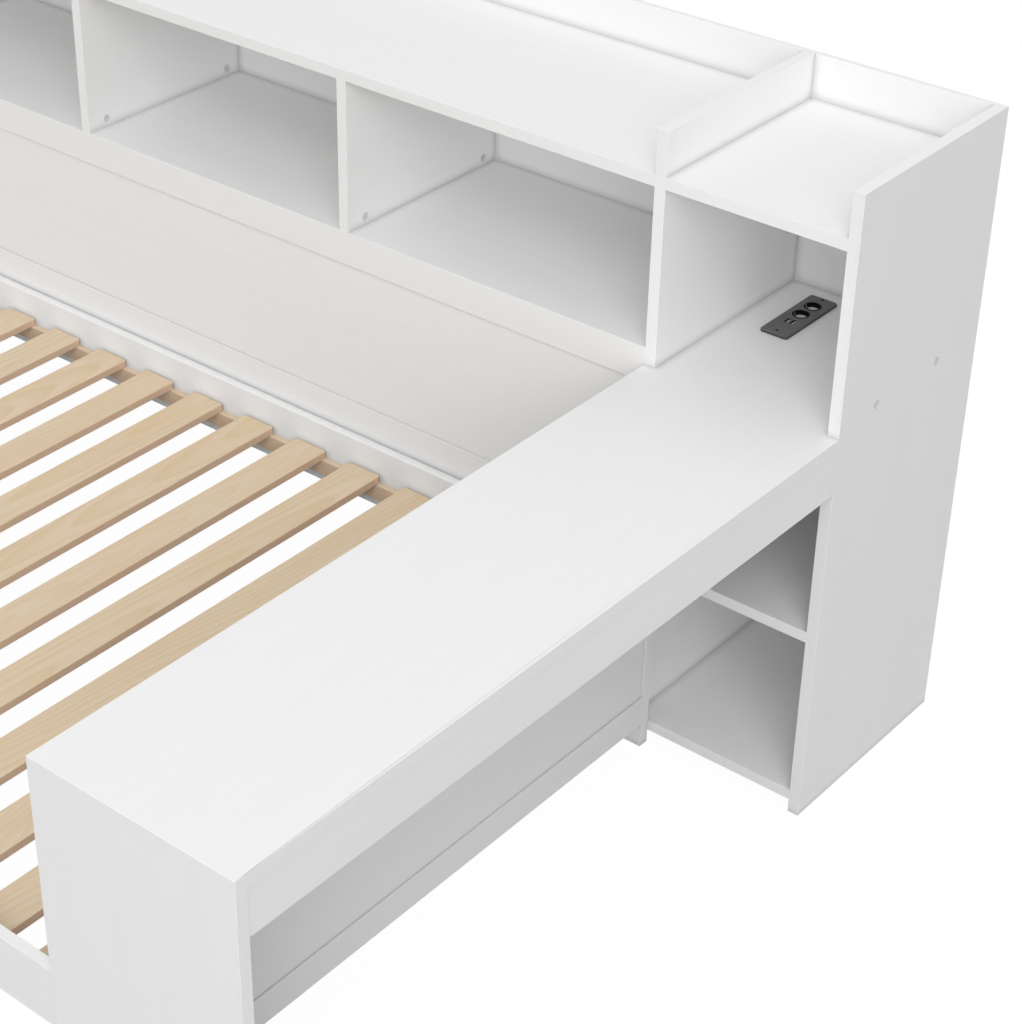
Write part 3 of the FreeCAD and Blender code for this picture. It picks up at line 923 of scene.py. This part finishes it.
@dataclass
class SlatBed:
    """The slats and the ledgers that carry them, sanded along their edges."""

    slat_edge: float = 1.0 * MM
    ledger_edge: float = 0.8 * MM
    edge_steps: int = 3
    prefix: str = "slat_"
    ledger_prefix: str = "slat_ledger"
    bump_strength: float = 0.25
    # shares of the sawn colour on upright faces, partly painted shade
    slat_sawn_and_shade: float = 0.85
    ledger_sawn_and_shade: float = 0.6
    ledger_ring_gap: float = 5 * MM

    def build(self) -> None:
        """Sand every slat and ledger and dress it."""
        slat_wood, ledger_wood = self.slat_wood().material(), self.ledger_wood().material()
        for node in [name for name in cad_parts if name.startswith(self.prefix)]:
            is_ledger = node.startswith(self.ledger_prefix)
            piece = copy_node(node, f"{node}_sanded")
            edge = self.ledger_edge if is_ledger else self.slat_edge
            round_corners(piece, edge, self.edge_steps, lambda corner: True)
            settle_shading(piece)
            fit(piece, Slot.WOOD, ledger_wood if is_ledger else slat_wood, node)

    def slat_wood(self) -> SawnWood:
        """The wood of the slats, whose pieces follow the slats' pitch.

        Returns:
            The finish.
        """
        low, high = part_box("slat_01")
        next_low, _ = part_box("slat_02")
        return SawnWood(
            "slat_wood",
            bump_strength=self.bump_strength,
            sawn_and_shade_share=self.slat_sawn_and_shade,
            first_edge=low.x,
            pitch=abs(next_low.x - low.x),
            top=high.z,
        )

    def ledger_wood(self) -> SawnWood:
        """The wood of the ledgers, one at each side of the bed.

        Returns:
            The finish.
        """
        low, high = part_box("slat_ledger_front")
        far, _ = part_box("slat_ledger_rear")
        return SawnWood(
            "ledger_wood",
            bump_strength=self.bump_strength,
            sawn_and_shade_share=self.ledger_sawn_and_shade,
            ring_gap=self.ledger_ring_gap,
            run=Run.X,
            first_edge=low.y,
            pitch=abs(far.y - low.y),
            top=high.z,
        )


def loose_copy(piece: Object, name: str, place: Matrix) -> Object:
    """Copy a piece with a mesh of its own, set in its place.

    Args:
        piece: the pattern, at the origin.
        name: the copy's name.
        place: where the copy goes.

    Returns:
        The copy, whose object stays at the origin.
    """
    copy = bpy.data.objects.new(name, piece.data.copy())
    copy.data.transform(place)
    bpy.context.scene.collection.objects.link(copy)
    return copy


def join_pieces(pieces: list[Object], name: str) -> Object:
    """Join loose copies into one piece.

    Args:
        pieces: the copies.
        name: the joined piece's name.

    Returns:
        The joined piece.
    """
    take_up(pieces[0])
    for piece in pieces:
        piece.select_set(True)
    bpy.ops.object.join()
    pieces[0].name = name
    return pieces[0]


def add_drum(name: str, radius: float, depth: float, sides: int) -> Object:
    """Add a drum whose top lies at z = 0, as the start of a turned piece.

    Args:
        name: the object's name.
        radius: its radius.
        depth: its depth below z = 0.
        sides: how many sides it has.

    Returns:
        The new object, with its place in its mesh.
    """
    middle = (0.0, 0.0, -depth / 2)
    bpy.ops.mesh.primitive_cylinder_add(vertices=sides, radius=radius, depth=depth, location=middle)
    bpy.ops.object.transform_apply(location=True, rotation=True, scale=True)
    drum = bpy.context.active_object
    drum.name = name
    return drum


def add_block(name: str, low: Vector, high: Vector) -> Object:
    """Add a block between two corners, as the start of a cut or formed piece.

    Args:
        name: the object's name.
        low: its lowest corner.
        high: its highest corner.

    Returns:
        The new object, with its place in its mesh.
    """
    bpy.ops.mesh.primitive_cube_add(size=1, location=(low + high) / 2)
    block = bpy.context.active_object
    block.scale = high - low
    bpy.ops.object.transform_apply(location=True, rotation=True, scale=True)
    block.name = name
    return block


def cut_away(piece: Object, low: Vector, high: Vector) -> None:
    """Cut a block's room out of a piece.

    Args:
        piece: the piece.
        low: the room's lowest corner.
        high: its highest corner.
    """
    cutter = add_block("cutter", low, high)
    apply_modifier(piece, "BOOLEAN", operation="DIFFERENCE", object=cutter, solver="EXACT")
    bpy.data.objects.remove(cutter)


def pick_level(piece: Object, height: float, way: float = 0.0) -> None:
    """Select the flat faces at one height.

    Args:
        piece: the object, in object mode.
        height: the height.
        way: 1 for faces that look up, -1 for faces that look down, 0 for both.
    """

    def wanted(face: MeshPolygon) -> bool:
        """Whether a face lies at the height and looks the right way."""
        level = abs(face.center.z - height) < NEAR and abs(face.normal.z) > SQUARE
        return level and face.normal.z * way >= 0

    pick_faces(piece, wanted)


def step_in(piece: Object, rim: float, drop: float) -> None:
    """Step the selected face inward and then straight down, or up below zero.

    Args:
        piece: the object, in object mode, with a level face selected.
        rim: the width of the rim that stays.
        drop: how far the inner face goes down.
    """
    with editing(piece):
        bpy.ops.mesh.inset(thickness=rim)
        bpy.ops.mesh.extrude_region_move(TRANSFORM_OT_translate={"value": (0.0, 0.0, -drop)})


def at_top(corner: Corner) -> bool:
    """Whether a corner lies at z = 0, the top of a turned piece."""
    return min(corner.start.z, corner.end.z) > -NEAR


@dataclass
class CamLocks:
    """The cam locks sunk into the dividers and the tower's sides, and their bolts."""

    plated: Mottled = ZINC
    sink: float = 0.8 * MM
    rim: float = 1.0 * MM
    dish: float = 0.3 * MM
    rounding: float = 0.25 * MM
    rounding_steps: int = 2

    def build(self) -> None:
        """Work the face of every disc, then dress the discs and the bolts."""
        material = self.plated.material()
        dress(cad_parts["cam_bolts"], material)
        discs = copy_node("cam_discs", "cam_lock_discs")
        levels = self.levels()

        def is_shown(point: Vector) -> bool:
            """Whether a point lies at the face of a disc."""
            return any(abs(point.x - level) < NEAR for level in levels)

        pick_faces(discs, lambda face: abs(face.normal.x) > SQUARE and is_shown(face.center))
        with editing(discs):
            bpy.ops.mesh.inset(thickness=self.rim)
            bpy.ops.mesh.inset(thickness=self.dish, depth=-self.dish)
        round_corners(
            discs,
            self.rounding,
            self.rounding_steps,
            lambda corner: is_shown(corner.start) and is_shown(corner.end),
        )
        settle_shading(discs)
        fit(discs, Slot.ZINC, material, "cam_discs")

    def levels(self) -> list[float]:
        """Where the discs' faces lie along X.

        Returns:
            One place for each board that holds discs.
        """
        right = [*(f"bookcase_divider_{number}" for number in (1, 2, 3)), "tower_upper_side_right"]
        left_low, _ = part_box("tower_upper_side_left")
        return [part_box(node)[1].x - self.sink for node in right] + [left_low.x + self.sink]


@dataclass
class PowerPlate:
    """The power plate with its socket cups, clips, port shells and screws."""

    moulded: Mottled = MOULDED
    cup_and_shade_plastic: Mottled = CUP_AND_SHADE_PLASTIC
    insert_plastic: Mottled = INSERT_PLASTIC
    screw_paint: Mottled = SCREW_PAINT
    spring_steel: Mottled = SPRING_STEEL
    sides: int = 64
    edge_steps: int = 2
    well_places: tuple[float, float] = (66 * MM, 94 * MM)
    well_radius: float = 10 * MM
    well_depth: float = 6 * MM
    flange: float = 1.8 * MM
    flange_height: float = 0.3 * MM
    flange_rounding: float = 0.15 * MM
    sleeve: float = 0.3 * MM
    overcut: float = 1.0 * MM
    play: float = 0.06 * MM
    notch: float = 4.0 * MM
    clip_width: float = 2.2 * MM
    clip_gauge: float = 0.45 * MM
    clip_rounding: float = 0.1125 * MM
    clip_path: tuple[tuple[float, float], ...] = ((11.4, -1.3), (9.9, -1.6), (9.4, -2.6), (9.2, -4.4))
    port_place: float = 40.7 * MM
    port_pitch: float = 8.2 * MM
    port_length: float = 12 * MM
    port_width: float = 4.6 * MM
    shell_gauge: float = 0.3 * MM
    shell_corner: float = 0.6 * MM
    shell_depth: float = 9 * MM
    screw_places: tuple[float, float] = (9.5 * MM, 118 * MM)
    screw_radius: float = 2.1 * MM
    screw_height: float = 1.5 * MM
    screw_sides: int = 32
    screw_rounding: float = 0.25 * MM
    screw_steps: int = 3
    screw_sink: float = 0.2 * MM
    shank_radius: float = 1.2 * MM
    shank_length: float = 12 * MM
    cross_arm: float = 1.3 * MM
    cross_width: float = 0.55 * MM
    cross_depth: float = 0.9 * MM

    def build(self) -> None:
        """Make the plate's fittings, and dress them and the plate's own nodes."""
        moulded = self.moulded.material()
        for node in ("socket_plate", "socket_housing"):
            dress(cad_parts[node], moulded)
        dress(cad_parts["socket_inserts"], self.insert_plastic.material())
        self.build_cups()
        self.build_clips()
        self.build_shells()
        self.build_screws()

    def at(self, along: float, height: float = 0.0, aside: float = 0.0) -> Matrix:
        """A place on the plate.

        Args:
            along: the way from the plate's front end.
            height: the height over its face.
            aside: the way from its middle line.

        Returns:
            The place, unturned.
        """
        low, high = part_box("socket_plate")
        return Matrix.Translation(((low.x + high.x) / 2 + aside, low.y + along, high.z + height))

    def build_cups(self) -> None:
        """Turn a cup for each well: a black flange on the plate, and a sleeve that lines the well with
        painted shade.
        """
        outer, lining = self.well_radius + self.flange, self.well_radius - self.play
        bottom = -self.flange_height - self.well_depth + self.play
        cup = add_drum("cup_pattern", outer, self.flange_height, self.sides)
        pick_level(cup, -self.flange_height, -1)
        step_in(cup, outer - lining, -self.flange_height - bottom)
        pick_level(cup, 0.0, 1)
        step_in(cup, outer - lining + self.sleeve, -bottom)
        pick_level(cup, bottom)
        with editing(cup):
            bpy.ops.mesh.delete(type="ONLY_FACE")
        pick_edges(cup, lambda index: all(end.z < bottom + NEAR for end in edge_ends(cup, index)))
        with editing(cup, Pick.EDGES):
            bpy.ops.mesh.bridge_edge_loops()
            bpy.ops.mesh.select_all(action="SELECT")
            bpy.ops.mesh.normals_make_consistent(inside=False)
        round_corners(cup, self.flange_rounding, self.edge_steps, at_top)
        reach = Vector((outer + self.overcut, self.notch / 2, self.overcut))
        cut_away(cup, Vector((-reach.x, -reach.y, bottom - self.overcut)), reach)
        settle_shading(cup)
        for number, along in enumerate(self.well_places, 1):
            place = self.at(along, self.flange_height)
            fit(loose_copy(cup, f"socket_cup_{number}", place), Slot.DARK, self.cup_and_shade_plastic.material())
        bpy.data.objects.remove(cup)

    def build_clips(self) -> None:
        """Bend a spring clip from strip and set one at each side of each well."""
        bpy.ops.mesh.primitive_plane_add(size=self.clip_width)
        clip = bpy.context.active_object
        path = [Vector((across * MM, 0.0, height * MM)) for across, height in self.clip_path]
        pick_edges(clip, lambda index: all(end.x < 0 for end in edge_ends(clip, index)))
        with editing(clip, Pick.EDGES):
            bpy.ops.mesh.delete(type="VERT")
            bpy.ops.mesh.select_all(action="SELECT")
            bpy.ops.transform.translate(value=path[0] - Vector((self.clip_width / 2, 0.0, 0.0)))
            for here, there in zip(path, path[1:]):
                bpy.ops.mesh.extrude_region_move(TRANSFORM_OT_translate={"value": there - here})
        apply_modifier(clip, "SOLIDIFY", thickness=self.clip_gauge, offset=0.0)
        bevel_sharp(clip, self.clip_rounding, self.edge_steps)
        settle_shading(clip)
        for number, along in enumerate(self.well_places, 1):
            for side, turn in (("right", 0.0), ("left", math.pi)):
                place = self.at(along) @ Matrix.Rotation(turn, 4, "Z")
                copy = loose_copy(clip, f"spring_clip_{side}_{number}", place)
                fit(copy, Slot.ZINC, self.spring_steel.material())
        bpy.data.objects.remove(clip)

    def build_shells(self) -> None:
        """Form a black shell that lines each port with painted shade."""
        half = Vector((self.port_width / 2 - self.play, self.port_length / 2 - self.play, 0.0))
        low, high = (-half - Vector((0, 0, self.shell_depth)), half - Vector((0, 0, self.play)))
        shell = add_block("shell_pattern", low, high)
        pick_faces(shell, lambda face: abs(face.normal.z) > SQUARE)
        with editing(shell):
            bpy.ops.mesh.delete(type="ONLY_FACE")
        bevel_sharp(shell, self.shell_corner, self.edge_steps)
        apply_modifier(shell, "SOLIDIFY", thickness=self.shell_gauge, offset=-1.0)
        settle_shading(shell)
        for number, side in enumerate((-0.5, 0.5), 1):
            place = self.at(self.port_place, 0.0, side * self.port_pitch)
            fit(loose_copy(shell, f"port_shell_{number}", place), Slot.DARK, self.cup_and_shade_plastic.material())
        bpy.data.objects.remove(shell)

    def build_screws(self) -> None:
        """Turn a domed screw with a cross recess and drive it at both ends of the plate."""
        screw = add_drum("screw_pattern", self.screw_radius, self.screw_height, self.screw_sides)
        pick_level(screw, -self.screw_height, -1)
        step_in(screw, self.screw_radius - self.shank_radius, self.shank_length)
        round_corners(screw, self.screw_rounding, self.screw_steps, at_top)
        for x, y in ((self.cross_arm, self.cross_width / 2), (self.cross_width / 2, self.cross_arm)):
            cut_away(screw, Vector((-x, -y, -self.cross_depth)), Vector((x, y, self.overcut)))
        settle_shading(screw)
        places = [self.at(along, -self.screw_sink) for along in self.screw_places]
        copies = [loose_copy(screw, f"plate_screw_{number}", place) for number, place in enumerate(places, 1)]
        bpy.data.objects.remove(screw)
        screws = join_pieces(copies, "driven_plate_screws")
        fit(screws, Slot.SCREW, self.screw_paint.material(), "plate_screws")


@dataclass(frozen=True)
class Softbox:
    """One large soft lamp."""

    name: str
    place: tuple[float, float, float]
    size: tuple[float, float]
    watts: float
    aim: tuple[float, float, float] = (0.4, 0.0, 0.5)

    def hang(self) -> None:
        """Hang the lamp and turn it to its aim."""
        lamp = bpy.data.lights.new(self.name, "AREA")
        lamp.shape = "RECTANGLE"
        lamp.size, lamp.size_y = self.size
        lamp.energy = self.watts
        holder = bpy.data.objects.new(self.name, lamp)
        holder.location = self.place
        holder.rotation_euler = (Vector(self.aim) - Vector(self.place)).to_track_quat("-Z", "Y").to_euler()
        holder.visible_camera = False
        bpy.context.scene.collection.objects.link(holder)
        log.info("%s: %g W", self.name, self.watts)


@dataclass(frozen=True)
class PhotoCamera:
    """The camera, where the photograph was taken from."""

    place: tuple[float, float, float] = (2.2936, -1.8155, 2.0391)
    pitch: float = math.radians(-32.857)
    heading: float = math.radians(40.373)
    lens: float = 83.52
    sensor: float = 36.0
    shift: tuple[float, float] = (0.0828, 0.0040)

    def set_up(self) -> None:
        """Set the camera up as the scene's own."""
        data = bpy.data.cameras.new("photo_camera")
        data.lens = self.lens
        data.sensor_width = self.sensor
        data.shift_x, data.shift_y = self.shift
        camera = bpy.data.objects.new("photo_camera", data)
        camera.location = self.place
        camera.rotation_euler = (math.pi / 2 + self.pitch, 0.0, self.heading)
        bpy.context.scene.collection.objects.link(camera)
        bpy.context.scene.camera = camera


@dataclass(frozen=True)
class Studio:
    """A white floor, a white surround and large soft lamps."""

    floor_size: float = 60.0
    floor_glow: float = 0.96
    floor_shade: Colour = grey(0.06)
    floor_paint: Colour = grey(0.3)
    ambient: float = 0.54
    lamps: tuple[Softbox, ...] = (
        Softbox("main_softbox", (6.2, -6.9, 7.3), (7.2, 7.2), 438.0),
        Softbox("front_softbox", (4.2, -8.2, 5.6), (7.2, 7.2), 130.0),
        Softbox("corner_softbox", (8.1, -7.7, 2.9), (5.2, 5.2), 160.0),
        Softbox("side_softbox", (10.4, -3.6, 3.8), (7.2, 7.2), 24.0),
        Softbox("rear_softbox", (-5.6, -6.0, 8.1), (7.2, 7.2), 40.0),
        Softbox("top_softbox", (0.4, 1.2, 9.6), (8.0, 8.0), 112.0),
    )

    def set_up(self) -> None:
        """Lay the floor, light the surround and hang the lamps."""
        self.lay_floor()
        self.light_surround()
        for lamp in self.lamps:
            lamp.hang()
        bpy.context.scene.view_settings.view_transform = "Standard"

    def seen_directly(self, wiring: Wiring) -> NodeSocket:
        """Tell rays from the camera, a mirror or glass from others.

        Args:
            wiring: the wiring of the floor or the surround.

        Returns:
            One for those rays, and zero for others.
        """
        path = wiring.node("ShaderNodeLightPath").outputs
        shown = wiring.math("MAXIMUM", path["Is Camera Ray"], path["Is Glossy Ray"])
        return wiring.math("MAXIMUM", shown, path["Is Transmission Ray"])

    def lay_floor(self) -> None:
        """Lay a floor that shows white and keeps the part's shadow."""
        bpy.ops.mesh.primitive_plane_add(size=self.floor_size)
        floor = bpy.context.active_object
        floor.name = "studio_floor"
        material = bpy.data.materials.new("studio_floor")
        material.use_nodes = True
        wiring = Wiring(material.node_tree)
        material.node_tree.nodes.clear()
        paint = wiring.run("ShaderNodeBsdfDiffuse", self.floor_paint)
        shade = wiring.run("ShaderNodeBsdfDiffuse", self.floor_shade)
        glow = wiring.run("ShaderNodeEmission", grey(1.0), self.floor_glow)
        white = wiring.run("ShaderNodeAddShader", glow, shade)
        choice = wiring.run("ShaderNodeMixShader", self.seen_directly(wiring), paint, white)
        wiring.feed(wiring.node("ShaderNodeOutputMaterial").inputs["Surface"], choice)
        dress(floor, material)
        floor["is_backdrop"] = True

    def light_surround(self) -> None:
        """Make the surround white where it shows, and a plain ambient light elsewhere."""
        world = bpy.data.worlds.new("studio_surround")
        world.use_nodes = True
        bpy.context.scene.world = world
        wiring = Wiring(world.node_tree)
        surround = world.node_tree.nodes["Background"]
        surround.inputs["Color"].default_value = grey(1.0)
        level = wiring.spread(self.seen_directly(wiring), 0.0, 1.0, self.ambient, 1.0)
        wiring.feed(surround.inputs["Strength"], level)


def write_sizes() -> None:
    """Work out the frame's box and the dressed part's box, without keeping or writing them."""
    boxes = {"cad": CAD_BOX, "visual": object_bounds()}
    {name: [list(corner) for corner in box] for name, box in boxes.items()}


def main() -> None:
    """Build every sub-assembly in order, then the studio."""
    logging.basicConfig(level=logging.INFO, format="%(name)s: %(message)s")
    laminate = Laminate("white_laminate", specular=0.25)
    for unit in (Desk(laminate), Tower(laminate), Bookcase(laminate), BedFrame(laminate)):
        unit.build()
    SlatBed().build()
    CamLocks().build()
    PowerPlate().build()
    Studio().set_up()
    PhotoCamera().set_up()
    write_sizes()


if __name__ == "__main__":
    main()
